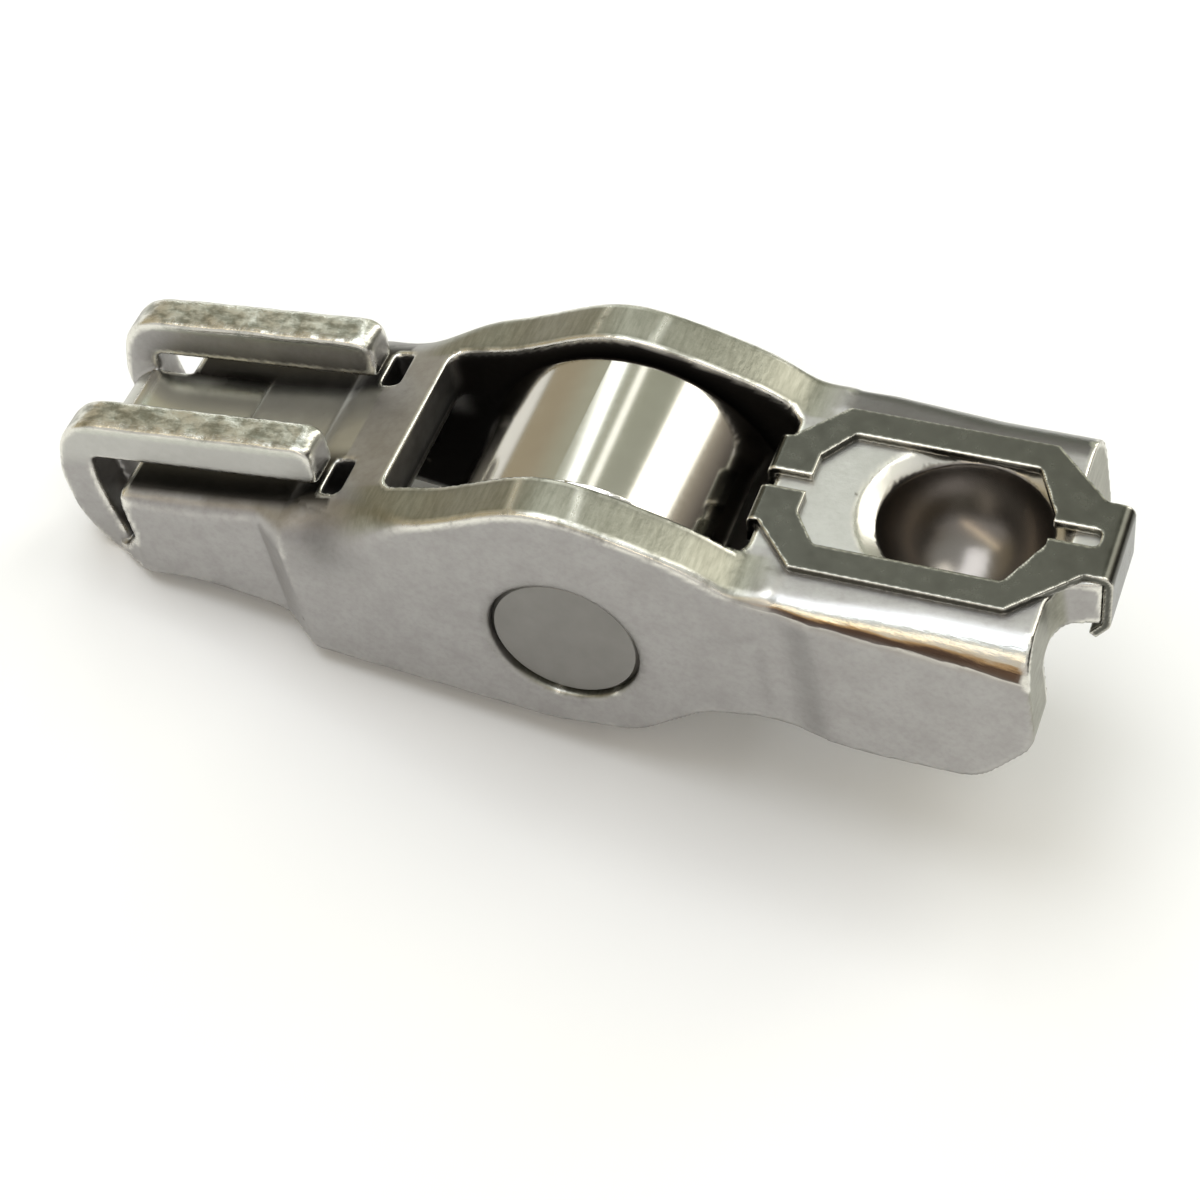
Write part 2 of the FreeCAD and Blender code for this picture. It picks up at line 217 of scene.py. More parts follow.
@dataclass(frozen=True)
class Pattern:
    """A pattern in a surface: a lump's real size, and how it is drawn out.

    A stretch below one along an axis draws the lumps out along it.
    """

    size_mm: float
    stretch: tuple[float, float, float] = (1.0, 1.0, 1.0)
    detail: float = 5.0
    roughness: float = 0.62

    def lay(self, tree: bpy.types.NodeTree, place: bpy.types.NodeSocket) -> bpy.types.NodeSocket:
        """Lay the pattern over a surface.

        Args:
            tree: Node tree of the finish.
            place: Coordinates in metres.

        Returns:
            The pattern's height, about 0 to 1.
        """
        drawn_out = add_node(
            tree, "ShaderNodeVectorMath", {"operation": "MULTIPLY"}, {0: place, 1: self.stretch},
        ).outputs[0]
        lumps = add_node(tree, "ShaderNodeTexNoise", inputs={
            "Vector": drawn_out, "Scale": 1 / (self.size_mm * MM),
            "Detail": self.detail, "Roughness": self.roughness,
        })
        return lumps.outputs["Fac"]


@dataclass(frozen=True)
class BareSteel:
    """What the steel finishes share: bare metal, with no coat over it."""

    name: str

    def start(self) -> tuple[bpy.types.Material, bpy.types.NodeSocket]:
        """Start an empty material.

        Returns:
            The material, and its coordinates in metres.
        """
        material = bpy.data.materials.new(self.name)
        material.use_nodes = True
        material.node_tree.nodes.clear()
        place = add_node(material.node_tree, "ShaderNodeTexCoord").outputs["Object"]
        return material, place

    def close(
        self,
        material: bpy.types.Material,
        colour: bpy.types.NodeSocket,
        rough: bpy.types.NodeSocket,
        normal: bpy.types.NodeSocket,
    ) -> bpy.types.Material:
        """Close a material with its metal shader.

        Args:
            material: Material to close.
            colour: Colour of the metal.
            rough: Its roughness.
            normal: Its bumped direction.

        Returns:
            The same material.
        """
        shader = add_node(material.node_tree, "ShaderNodeBsdfPrincipled", inputs={
            "Metallic": 1.0, "Base Color": colour, "Roughness": rough, "Normal": normal,
        })
        add_node(
            material.node_tree, "ShaderNodeOutputMaterial", inputs={"Surface": shader.outputs[0]},
        )
        return material


@dataclass(frozen=True)
class TumbledSheetSteel(BareSteel):
    """Case-hardened sheet steel, stamped, then tumbled with ceramic chips.

    Tumbling leaves a soft satin grey with fine mottling and a few pits. The
    sheared edges are a darker olive, scored across the sheet, with bright
    burrs and a pale painted highlight along the edges, and the ears' tops are
    torn, with bright flecks. The fold over the socket has a die burnish, and
    its colour runs through painted reflections by how far it turns: pale on
    top, a white highlight, then straw, then brown. The ball socket and the pad
    are ground, and the pad's pale colour is also laid as painted light on
    up-facing faces and the ears' outer faces. Painted shade darkens the inside
    of the channel, the corners by the ears, the slits, the steps and the clip.
    """

    name: str = "tumbled_sheet_steel"
    skin: str = "#ABA9A7"
    skin_dark: str = "#9B9896"
    shear: str = "#9A998D"
    shear_dark: str = "#7C7B6F"
    # Pale burr colour, also laid along bright edges as painted highlight
    burr: str = "#DEDCD4"
    # Painted reflection bands across the fold, by how far it turns: pale, white highlight, straw, dark brown
    fold_reflection_colours: tuple[tuple[float, str], ...] = (
        (0.0, "#AEB2B2"), (0.3, "#D2D2CD"), (0.5, "#D6CDB8"), (0.6, "#B4946B"),
        (0.7, "#5C483A"), (0.94, "#4C3E34"), (1.0, "#D0CCC4"), (1.12, "#A09A93"),
    )
    fold_streaks: float = 0.4
    ground: str = "#CFCCC5"
    bowl: str = "#837E79"
    # Ground pad colour, also laid on up-facing and outer ear faces as painted light
    pad: str = "#D6D8D0"
    # Painted shade inside the channel, near black
    scale: str = "#262321"
    # Painted shade for the corners, the slits and under the ears
    shade_colour: str = "#3B3834"
    pit: str = "#6F6A62"
    pits_apart_mm: float = 3.2
    skin_roughness: tuple[float, float] = (0.33, 0.47)
    mottle: Pattern = Pattern(1.4)
    grain: Pattern = Pattern(0.35)
    score: Pattern = Pattern(0.22, (1.0, 0.16, 0.5))
    wrinkle: Pattern = Pattern(0.4, (0.14, 1.0, 1.0), 3.0)
    fleck: Pattern = Pattern(0.7, (0.55, 1.0, 1.0))

    def fold_reflection_ramp(
        self, tree: bpy.types.NodeTree, turn: bpy.types.NodeSocket, streaks: bpy.types.NodeSocket,
    ) -> bpy.types.NodeSocket:
        """Paint the fold's reflection bands by how far it has turned down.

        Args:
            tree: Node tree of the material.
            turn: 0 on the web, 1 where the fold meets the wall.
            streaks: Pattern that breaks the bands' borders up.

        Returns:
            The fold's colour.
        """
        last_turn = self.fold_reflection_colours[-1][0]
        mean_streak = self.fold_streaks / 2
        uneven = add_node(
            tree, "ShaderNodeMath", {"operation": "MULTIPLY_ADD"},
            {0: streaks, 1: self.fold_streaks, 2: turn},
        ).outputs[0]
        settled = add_node(tree, "ShaderNodeMapRange", inputs={
            "Value": uneven, "From Min": mean_streak, "From Max": mean_streak + last_turn,
        }).outputs["Result"]
        ramp = add_node(tree, "ShaderNodeValToRGB", inputs={0: settled})
        spread_ramp(ramp, [(turned / last_turn, colour) for turned, colour in self.fold_reflection_colours])
        return ramp.outputs[0]

    def make(self) -> bpy.types.Material:
        """Build the material.

        Returns:
            The material for the stamped arm.
        """
        material, place = self.start()
        tree = material.node_tree
        grades = {
            wear: add_node(tree, "ShaderNodeAttribute", {"attribute_name": wear.value}).outputs["Fac"]
            for wear in Wear
        }
        mottle, grain, score, wrinkle, fleck = (
            pattern.lay(tree, place)
            for pattern in (self.mottle, self.grain, self.score, self.wrinkle, self.fleck)
        )
        pits = add_node(tree, "ShaderNodeTexVoronoi", inputs={
            "Vector": place, "Scale": 1 / (self.pits_apart_mm * MM), "Randomness": 1.0,
        }).outputs["Distance"]
        # Each pattern is stretched so that the first value gives 0 and the second gives 1.
        dots, pitted, clouds, cloud_grain, scores, bright, flecks = (
            add_node(
                tree, "ShaderNodeMapRange", {"interpolation_type": "SMOOTHSTEP"},
                {"Value": pattern, "From Min": low, "From Max": high},
            ).outputs["Result"]
            for pattern, low, high in (
                (pits, 0.09, 0.03), (mottle, 0.5, 0.6), (mottle, 0.1, 0.75), (grain, 0.0, 0.62),
                (score, 0.15, 0.8), (mottle, 0.3, 0.55), (fleck, 0.38, 0.62),
            )
        )
        pit, cloud, edge_wear_and_highlight = (
            add_node(tree, "ShaderNodeMath", {"operation": "MULTIPLY"}, {0: one, 1: other}).outputs[0]
            for one, other in ((dots, pitted), (clouds, cloud_grain), (grades[Wear.RIM], bright))
        )
        skin, shear, torn = (
            add_node(
                tree, "ShaderNodeMix", {"data_type": "RGBA"},
                {0: amount, 6: linear(dark), 7: linear(light)},
            ).outputs[2]
            for dark, light, amount in (
                (self.skin_dark, self.skin, cloud),
                (self.shear_dark, self.shear, scores),
                (self.shear_dark, self.burr, flecks),
            )
        )
        fold = self.fold_reflection_ramp(tree, grades[Wear.FOLD_TURN], wrinkle)
        colour = skin
        # Painted light is among these layers: the fold's reflection bands, the pad colour on lit faces, pale edge
        # highlights, and painted shade
        for over, amount in (
            (shear, grades[Wear.SHEARED]),
            (fold, grades[Wear.BURNISH_AND_REFLECTION]),
            (linear(self.pad), grades[Wear.PAD_AND_PAINTED_LIGHT]),
            (torn, grades[Wear.TORN]),
            (linear(self.shade_colour), grades[Wear.PAINTED_SHADE]),
            (linear(self.burr), edge_wear_and_highlight),
            (linear(self.ground), grades[Wear.GROUND]),
            (linear(self.bowl), grades[Wear.BOWL]),
            (linear(self.scale), grades[Wear.SCALED]),
            (linear(self.pit), pit),
        ):
            colour = add_node(
                tree, "ShaderNodeMix", {"data_type": "RGBA"}, {0: amount, 6: colour, 7: over},
            ).outputs[2]
        smoothest, roughest = self.skin_roughness
        rough = add_node(tree, "ShaderNodeMapRange", inputs={
            "Value": mottle, "To Min": smoothest, "To Max": roughest,
        }).outputs["Result"]
        for amount, roughness in (
            (grades[Wear.SHEARED], 0.36),
            (grades[Wear.BURNISH_AND_REFLECTION], 0.22),
            (grades[Wear.PAD_AND_PAINTED_LIGHT], 0.22),
            (edge_wear_and_highlight, 0.24),
            (grades[Wear.GROUND], 0.27),
            (grades[Wear.BOWL], 0.25),
            (grades[Wear.SCALED], 0.6),
        ):
            rough = add_node(
                tree, "ShaderNodeMix", {"data_type": "FLOAT"}, {0: amount, 2: rough, 3: roughness},
            ).outputs[0]
        polish = add_node(
            tree, "ShaderNodeMath", {"operation": "MAXIMUM"},
            {0: grades[Wear.GROUND], 1: grades[Wear.PAD_AND_PAINTED_LIGHT]},
        ).outputs[0]
        # Each bump lies on the one before it: its strength where the grade is 0 and where it is 1,
        # and its depth in millimetres.
        beneath: dict[str, bpy.types.NodeSocket] = {}
        for height, amount, without, within, depth_mm in (
            (grain, polish, 0.42, 0.03, 0.035),
            (score, grades[Wear.SHEARED], 0.0, 0.3, 0.035),
            (wrinkle, grades[Wear.BURNISH_AND_REFLECTION], 0.0, 0.3, 0.05),
            (fleck, grades[Wear.TORN], 0.0, 0.6, 0.12),
        ):
            strength = add_node(tree, "ShaderNodeMapRange", inputs={
                "Value": amount, "To Min": without, "To Max": within,
            }).outputs["Result"]
            bump = add_node(tree, "ShaderNodeBump", inputs={
                "Strength": strength, "Distance": depth_mm * MM, "Height": height, **beneath,
            })
            beneath = {"Normal": bump.outputs["Normal"]}
        return self.close(material, colour, rough, beneath["Normal"])


@dataclass(frozen=True)
class TurnedSteel(BareSteel):
    """Hardened bearing steel, ground between wheels or faced on a lathe.

    Grinding runs round the piece, so it leaves fine rings that draw each
    highlight out into a band across them. Real rings lie closer together:
    these are drawn coarse enough to show.
    """

    colour: str
    colour_dark: str
    roughness: float
    ring_mm: float
    ring_depth_mm: float
    ring_stretch: tuple[float, float, float] = (0.12, 1.0, 0.12)
    ring_strength: float = 0.35
    roughness_spread: tuple[float, float] = (0.75, 1.3)
    cloud: Pattern = Pattern(1.6, detail=4.0, roughness=0.55)

    def make(self, axes: ArmAxes) -> bpy.types.Material:
        """Build the material.

        Args:
            axes: The arm's axes, whose pin line the rings run round.

        Returns:
            The material for one turned piece.
        """
        material, place = self.start()
        tree = material.node_tree
        centred = add_node(
            tree, "ShaderNodeVectorMath", {"operation": "SUBTRACT"}, {0: place, 1: axes.pin_centre},
        ).outputs[0]
        ground = Pattern(self.ring_mm, self.ring_stretch, detail=3.0, roughness=0.6)
        rings = ground.lay(tree, centred)
        colour = add_node(tree, "ShaderNodeMix", {"data_type": "RGBA"}, {
            0: self.cloud.lay(tree, place), 6: linear(self.colour_dark), 7: linear(self.colour),
        }).outputs[2]
        smoothest, roughest = self.roughness_spread
        rough = add_node(tree, "ShaderNodeMapRange", inputs={
            "Value": rings, "To Min": self.roughness * smoothest, "To Max": self.roughness * roughest,
        }).outputs["Result"]
        bump = add_node(tree, "ShaderNodeBump", inputs={
            "Strength": self.ring_strength, "Distance": self.ring_depth_mm * MM, "Height": rings,
        })
        return self.close(material, colour, rough, bump.outputs["Normal"])


@dataclass(frozen=True)
class TemperedSpringStrip(BareSteel):
    """Cold-rolled spring strip, blanked and tempered to a dark grey-green.

    The rolled faces are dull, and the blanked edges get a pale colour as
    painted highlight lines. Painted shade darkens the leg inside the window.
    """

    name: str = "tempered_spring_strip"
    face: str = "#64645D"
    face_dark: str = "#44433E"
    # Pale edge colour: painted highlight along the blanked edges
    edge: str = "#D6D3C9"
    # Painted shade on the clip's leg inside the window
    shade_colour: str = "#1D1C1B"
    roughness: tuple[float, float] = (0.2, 0.32)
    rolling: Pattern = Pattern(0.9, detail=6.0, roughness=0.6)
    rolling_depth_mm: float = 0.03
    rolling_strength: float = 0.12

    def make(self) -> bpy.types.Material:
        """Build the material.

        Returns:
            The material for the spring clip.
        """
        material, place = self.start()
        tree = material.node_tree
        rim, painted_shade = (
            add_node(tree, "ShaderNodeAttribute", {"attribute_name": wear.value}).outputs["Fac"]
            for wear in (Wear.RIM, Wear.PAINTED_SHADE)
        )
        rolling = self.rolling.lay(tree, place)
        colour: bpy.types.NodeSocket | tuple[float, ...] = linear(self.face_dark)
        for over, amount in ((self.face, rolling), (self.edge, rim), (self.shade_colour, painted_shade)):
            colour = add_node(
                tree, "ShaderNodeMix", {"data_type": "RGBA"}, {0: amount, 6: colour, 7: linear(over)},
            ).outputs[2]
        smoothest, roughest = self.roughness
        rough = add_node(tree, "ShaderNodeMapRange", inputs={
            "Value": rolling, "To Min": smoothest, "To Max": roughest,
        }).outputs["Result"]
        bump = add_node(tree, "ShaderNodeBump", inputs={
            "Strength": self.rolling_strength, "Distance": self.rolling_depth_mm * MM,
            "Height": rolling,
        })
        return self.close(material, colour, rough, bump.outputs["Normal"])


@dataclass(frozen=True)
class MattPaper:
    """Uncoated backdrop paper, pressed matt: pale, with hardly any sheen."""

    name: str = "matt_backdrop_paper"
    colour: str = "#F8F8F8"
    roughness: float = 0.9
    specular: float = 0.2

    def make(self) -> bpy.types.Material:
        """Build the material.

        Returns:
            The material for the floor.
        """
        material = bpy.data.materials.new(self.name)
        material.use_nodes = True
        shader = material.node_tree.nodes["Principled BSDF"]
        shader.inputs["Base Color"].default_value = linear(self.colour)
        shader.inputs["Roughness"].default_value = self.roughness
        shader.inputs["Specular IOR Level"].default_value = self.specular
        return material


def dress(piece: bpy.types.Object, material: bpy.types.Material) -> None:
    """Give a piece one material in place of any that it has."""
    piece.data.materials.clear()
    piece.data.materials.append(material)


@dataclass(frozen=True)
class Tumbling:
    """How a solid is meshed evenly and its edges are worn round.

    The squares draw up to the solid's edges as closely as the sharpness
    says, from 0 to 1, and each pass wears the edges a little more.
    """

    grain_mm: float
    sharpness: float
    passes: int
    wear_a_pass: float = 0.5
    fullest_share: float = 0.9

    def copy(self, node: str) -> bpy.types.Object:
        """Copy a CAD node as an even fine mesh with its edges worn round.

        Args:
            node: Name of the CAD node.

        Returns:
            The new object, at the node's place.
        """
        mesh = frame["nodes"][node].data.copy()
        mesh.transform(Matrix.Scale(1 / MM, 4))
        work = bpy.data.objects.new(node + "_work", mesh)
        bpy.context.scene.collection.objects.link(work)
        # The modifier halves a cube again and again, and the piece fills a share of that cube.
        longest_mm = max(work.dimensions)
        depth = math.ceil(math.log2(longest_mm / (self.fullest_share * self.grain_mm)))
        remesh = work.modifiers.new("even", "REMESH")
        remesh.mode = "SHARP"
        remesh.sharpness = self.sharpness
        remesh.octree_depth = depth
        remesh.scale = longest_mm / (self.grain_mm * 2 ** depth)
        remesh.use_smooth_shade = True
        smooth = work.modifiers.new("worn", "SMOOTH")
        smooth.factor = self.wear_a_pass
        smooth.iterations = self.passes
        seen = work.evaluated_get(bpy.context.evaluated_depsgraph_get())
        fine = bpy.data.meshes.new_from_object(seen)
        fine.transform(Matrix.Scale(MM, 4))
        bpy.data.objects.remove(work)
        piece = bpy.data.objects.new(node + "_tumbled", fine)
        bpy.context.scene.collection.objects.link(piece)
        return piece


def vertex_points(mesh: bpy.types.Mesh) -> np.ndarray:
    """Read where a mesh's vertices are.

    Args:
        mesh: Mesh to read.

    Returns:
        One point a row, in metres.
    """
    points = np.zeros(len(mesh.vertices) * 3)
    mesh.vertices.foreach_get("co", points)
    return points.reshape(-1, 3)


def vertex_normals(mesh: bpy.types.Mesh) -> np.ndarray:
    """Read where a mesh's vertices face.

    Args:
        mesh: Mesh to read.

    Returns:
        One direction a row.
    """
    normals = np.zeros(len(mesh.vertices) * 3, np.float32)
    mesh.vertex_normals.foreach_get("vector", normals)
    return normals.reshape(-1, 3).astype(float)


def move_vertices(mesh: bpy.types.Mesh, points: np.ndarray) -> None:
    """Put a mesh's vertices at new points, one a row, in metres."""
    mesh.vertices.foreach_set("co", points.ravel())
    mesh.update()


def averaged(mesh: bpy.types.Mesh, values: np.ndarray, rounds: int) -> np.ndarray:
    """Average each vertex's value over its neighbours, round after round.

    Args:
        mesh: Mesh whose edges join the neighbours.
        values: One value or one row a vertex.
        rounds: How many times to average.

    Returns:
        The evened-out values.
    """
    ends = np.zeros(len(mesh.edges) * 2, np.int64)
    mesh.edges.foreach_get("vertices", ends)
    a, b = ends.reshape(-1, 2).T
    size = len(mesh.vertices)
    count = np.maximum(np.bincount(a, minlength=size) + np.bincount(b, minlength=size), 1)
    for _ in range(rounds):
        total = np.zeros_like(values)
        np.add.at(total, a, values[b])
        np.add.at(total, b, values[a])
        values = (total.T / count).T
    return values


def edge_sharpness(mesh: bpy.types.Mesh) -> np.ndarray:
    """Grade how far each vertex stands out from its neighbours.

    Args:
        mesh: Even mesh in metres.

    Returns:
        Outward bulge at each vertex, in millimetres; hollows are negative.
    """
    points, normals = vertex_points(mesh), vertex_normals(mesh)
    bulge = np.einsum("ij,ij->i", points - averaged(mesh, points, 3), normals) / MM
    return averaged(mesh, bulge, 1)


def keep_grade(mesh: bpy.types.Mesh, wear: Wear, values: np.ndarray) -> None:
    """Store one grade on the mesh's vertices.

    Args:
        mesh: Mesh that keeps it.
        wear: Which grade it is.
        values: One value a vertex, 0 to 1.
    """
    layer = mesh.attributes.new(wear.value, "FLOAT", "POINT")
    layer.data.foreach_set("value", values.astype(np.float32))


@dataclass(frozen=True)
class Spot:
    """A soft spot or line: its middle and its reach along one or two axes, in millimetres."""

    middle_mm: tuple[float, ...]
    reach_mm: tuple[float, ...]

    def cover(self, *places: np.ndarray) -> np.ndarray:
        """Grade how well the spot covers each vertex.

        Args:
            places: The vertices' places along each of the spot's axes.

        Returns:
            1 in the spot's middle, fading to 0 past its reach.
        """
        parts = zip(places, self.middle_mm, self.reach_mm)
        return np.exp(-sum(((place - middle) / reach) ** 2 for place, middle, reach in parts))


@dataclass(frozen=True)
class ArmSkin:
    """The arm's vertices along its own axes in millimetres, and where each faces."""

    points: np.ndarray
    normals: np.ndarray

    @classmethod
    def read(cls, mesh: bpy.types.Mesh, axes: ArmAxes) -> "ArmSkin":
        """Read the arm's mesh along the arm's axes."""
        return cls(axes.to_arm(vertex_points(mesh)), axes.turn_back(vertex_normals(mesh)))

    @property
    def x(self) -> np.ndarray:
        """Place along the arm, from the pin towards the socket."""
        return self.points[:, 0]

    @property
    def side(self) -> np.ndarray:
        """Distance from the arm's middle plane."""
        return np.abs(self.points[:, 1])

    @property
    def z(self) -> np.ndarray:
        """Height over the pin's centre."""
        return self.points[:, 2]

    @property
    def up(self) -> np.ndarray:
        """How far each vertex faces up, 1 to -1."""
        return self.normals[:, 2]

    @property
    def inward(self) -> np.ndarray:
        """How far each vertex faces the middle plane, 1 to -1."""
        return -np.sign(self.points[:, 1]) * self.normals[:, 1]


@dataclass
class StampedArm:
    """The stamped arm: walls, web, ball socket, guide ears and hooks."""

    axes: ArmAxes
    tumbling: Tumbling = Tumbling(grain_mm=0.21, sharpness=0.1, passes=3)
    # Places on the stamping, along its own axes
    window_mm: float = 9.5
    wall_inside_mm: float = 5.0
    wall_end_mm: float = 22.5
    web_at_window_mm: float = 5.25
    web_slope: float = 0.106
    channel_mm: tuple[float, float] = (-24.9, 23.0)
    ear_gap_mm: float = 5.9
    ear_end_mm: float = -12.6
    ear_top_mm: float = 8.85
    ear_foot_mm: float = 6.2
    socket_mm: tuple[float, float, float] = (19.0, 0.0, 3.34)
    ball_mm: float = 4.25
    lead_in_mm: float = 5.25
    # The ears' torn tops: how x and y feed each noise, and its own slice
    tear_depth_mm: float = 0.07
    tears: tuple[tuple[float, float, float, float], ...] = (
        (0.4, 0.0, 1.1, 3.1), (0.9, 0.5, 3.2, 7.7), (1.3, 0.0, 2.6, 1.3),
    )
    torn_share: float = 0.75
    # The slope from wall top to web at the window's socket end
    corner_mm: tuple[float, float] = (8.93, 5.61)
    corner_slope: float = 0.51
    # Bright edges, worn and painted highlight, and painted highlight lines across the wall tops
    worn_bulge_mm: tuple[float, float] = (0.02, 0.05)
    flat_share: float = 0.12
    slit_end: Spot = Spot((-13.0, 4.1), (1.1, 1.9))
    highlight_lines: tuple[Spot, ...] = (Spot((-1.8,), (0.2,)), Spot((1.4,), (0.2,)))
    highlight_lean: float = 0.1
    # How deep the fold over the socket is, at places along the arm
    fold_places_mm: tuple[float, ...] = (9.5, 13.0, 24.0)
    fold_depths_mm: tuple[float, ...] = (0.4, 0.72, 1.75)
    # Painted shade at the slits, under the ears' shoulders, round the pin and at the pressed steps
    slit_shade: Spot = Spot((-13.0, 4.1), (1.4, 1.9))
    shoulder_shade: Spot = Spot((-12.3, 4.6), (1.7, 1.5))
    pin_ring_shade: Spot = Spot((4.1,), (0.28,))
    wall_step: Spot = Spot((12.9,), (0.75,))
    press_side: Spot = Spot((10.6,), (0.3,))
    press_top: Spot = Spot((1.04,), (0.3,))
    press_top_from_mm: float = 5.2
    press_top_slope: float = 0.25

    def build(self) -> bpy.types.Object:
        """Make the arm's mesh, wear it and give it its finish.

        Returns:
            The dressed arm.
        """
        piece = self.tumbling.copy("arm")
        self.tear_ear_tops(piece.data)
        self.fair_corners(piece.data)
        self.grade(piece.data)
        dress(piece, TumbledSheetSteel().make())
        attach(piece, "arm")
        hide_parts("arm")
        return piece

    def tear_ear_tops(self, mesh: bpy.types.Mesh) -> None:
        """Roughen the ears' sheared tops, where the sheet tore away.

        Args:
            mesh: The arm's even mesh.
        """
        skin = ArmSkin.read(mesh, self.axes)
        on_ear = (skin.x < self.ear_end_mm) & (skin.side > self.ear_gap_mm / 2 - 0.1)
        on_top = smooth_between(skin.z, self.ear_top_mm - 0.5, self.ear_top_mm - 0.15)
        amount = on_ear * on_top * np.clip(skin.up, 0, 1)
        moved, outward = vertex_points(mesh), vertex_normals(mesh)
        for i in np.nonzero(amount > 0.01)[0]:
            x, y, _ = skin.points[i]
            gouge, streak, burr = (
                noise.noise(Vector((x * along + y * lean, y * across, part)))
                for along, lean, across, part in self.tears
            )
            rise = min(gouge, 0.0) * 1.5 + streak * 0.5 - max(burr - 0.25, 0.0) - 0.15
            moved[i] += outward[i] * amount[i] * self.tear_depth_mm * MM * min(rise, 0.1)
        move_vertices(mesh, moved)

    def fair_corners(self, mesh: bpy.types.Mesh) -> None:
        """Run the wall tops into the web at the window's socket end without a step.

        Args:
            mesh: The arm's even mesh.
        """
        skin = ArmSkin.read(mesh, self.axes)
        corner_x, corner_z = self.corner_mm
        past = skin.x - corner_x
        near = (past > -0.2) & (past < 0.8) & (skin.z > self.web_at_window_mm - 0.1)
        across = smooth_between(skin.side, self.wall_inside_mm - 0.4, self.wall_inside_mm)
        across = across * smooth_between(skin.side, 5.95, 5.65)
        slope = corner_z - self.corner_slope * past
        lift = near * across * np.clip(slope - skin.z, 0.0, 0.35)
        move_vertices(mesh, vertex_points(mesh) + np.outer(lift * MM, self.axes.up()))

    def grade(self, mesh: bpy.types.Mesh) -> None:
        """Grade each vertex by how its skin was made.

        Args:
            mesh: The arm's even mesh.
        """
        skin = ArmSkin.read(mesh, self.axes)
        wall_top, ear_top = self.wall_tops(skin), self.ear_tops(skin)
        wall_end = smooth_between(skin.normals[:, 0], 0.5, 0.8) * (skin.x > self.wall_end_mm)
        edges = self.worn_and_highlit_edges(mesh, skin)
        fold, turn = self.fold(skin)
        ground, bowl = self.socket(skin)
        unworn = (1 - edges) * (1 - ground)
        grades = {
            Wear.SHEARED: np.clip(wall_top + ear_top + wall_end, 0, 1),
            Wear.TORN: self.torn_share * ear_top * smooth_between(skin.up, 0.5, 0.8),
            Wear.RIM: np.clip(edges + self.highlight_line_grade(skin) * wall_top, 0, 1),
            Wear.BURNISH_AND_REFLECTION: averaged(mesh, fold, 2),
            Wear.FOLD_TURN: turn,
            Wear.GROUND: ground,
            Wear.BOWL: bowl,
            Wear.SCALED: averaged(mesh, self.channel(skin), 4) * unworn,
            Wear.PAD_AND_PAINTED_LIGHT: self.pad_and_painted_light(skin, ear_top, ground),
            Wear.PAINTED_SHADE: self.painted_shade(skin) * unworn,
        }
        for wear, values in grades.items():
            keep_grade(mesh, wear, values)

    def wall_tops(self, skin: ArmSkin) -> np.ndarray:
        """Grade the walls' sheared tops beside the window.

        Args:
            skin: The arm's vertices.

        Returns:
            1 on the tops, fading out past the window's ends.
        """
        along = smooth_between(np.abs(skin.x), self.window_mm + 2.4, self.window_mm + 0.2)
        across = smooth_between(skin.side, self.wall_inside_mm - 0.4, self.wall_inside_mm)
        return smooth_between(skin.up, 0.35, 0.7) * along * across

    def ear_tops(self, skin: ArmSkin) -> np.ndarray:
        """Grade the ears' sheared tops.

        Args:
            skin: The arm's vertices.

        Returns:
            1 on the tops, and 0 elsewhere.
        """
        top = smooth_between(skin.z, self.ear_top_mm - 0.7, self.ear_top_mm - 0.35)
        return (skin.x < self.ear_end_mm) * top

    def by_slit(self, skin: ArmSkin, spot: Spot) -> np.ndarray:
        """Grade the web round the two slits' ends, by a spot on one side."""
        return spot.cover(skin.x, skin.side) * (skin.z > 2.0) * (skin.z < 5.9)

    def worn_and_highlit_edges(self, mesh: bpy.types.Mesh, skin: ArmSkin) -> np.ndarray:
        """Grade the bright edges, worn and painted highlight: faint on outer walls, dull at the slits' ends.

        Args:
            mesh: The arm's even mesh.
            skin: The arm's vertices.

        Returns:
            How bright each edge is, from wear and painted highlight, 0 to 1.
        """
        low = (skin.z < 1.5) | (np.hypot(skin.x, skin.z) < 5.0)
        outer_wall = (skin.side > 6.2) & low
        edges = smooth_between(edge_sharpness(mesh), *self.worn_bulge_mm)
        edges = edges * np.where(outer_wall, self.flat_share, 1.0)
        return edges * (1 - 0.85 * self.by_slit(skin, self.slit_end))

    def highlight_line_grade(self, skin: ArmSkin) -> np.ndarray:
        """Grade the painted highlight lines that lean across both wall tops."""
        along = skin.x - self.highlight_lean * skin.side
        return sum(line_spot.cover(along) for line_spot in self.highlight_lines)

    def fold(self, skin: ArmSkin) -> tuple[np.ndarray, np.ndarray]:
        """Grade the fold over the socket, its die burnish and its painted reflection bands.

        Args:
            skin: The arm's vertices.

        Returns:
            How much of the fold's burnish and painted reflection each vertex
            gets, and how far the fold has turned there: 0 on the web, 1 at the wall.
        """
        depth = self.web_at_window_mm - (skin.x - self.window_mm) * self.web_slope - skin.z
        reach = np.interp(skin.x, self.fold_places_mm, self.fold_depths_mm)
        turn = np.clip(depth / reach, 0, 1.2)
        on_fold = smooth_between(depth, 0.02, 0.15) * smooth_between(turn, 1.15, 1.0)
        outside = (skin.up > -0.2) * (skin.side > 5.4)
        past_window = smooth_between(skin.x, 9.3, 12.5)
        before_end = smooth_between(skin.normals[:, 0], 0.8, 0.5)
        return on_fold * outside * past_window * before_end, turn

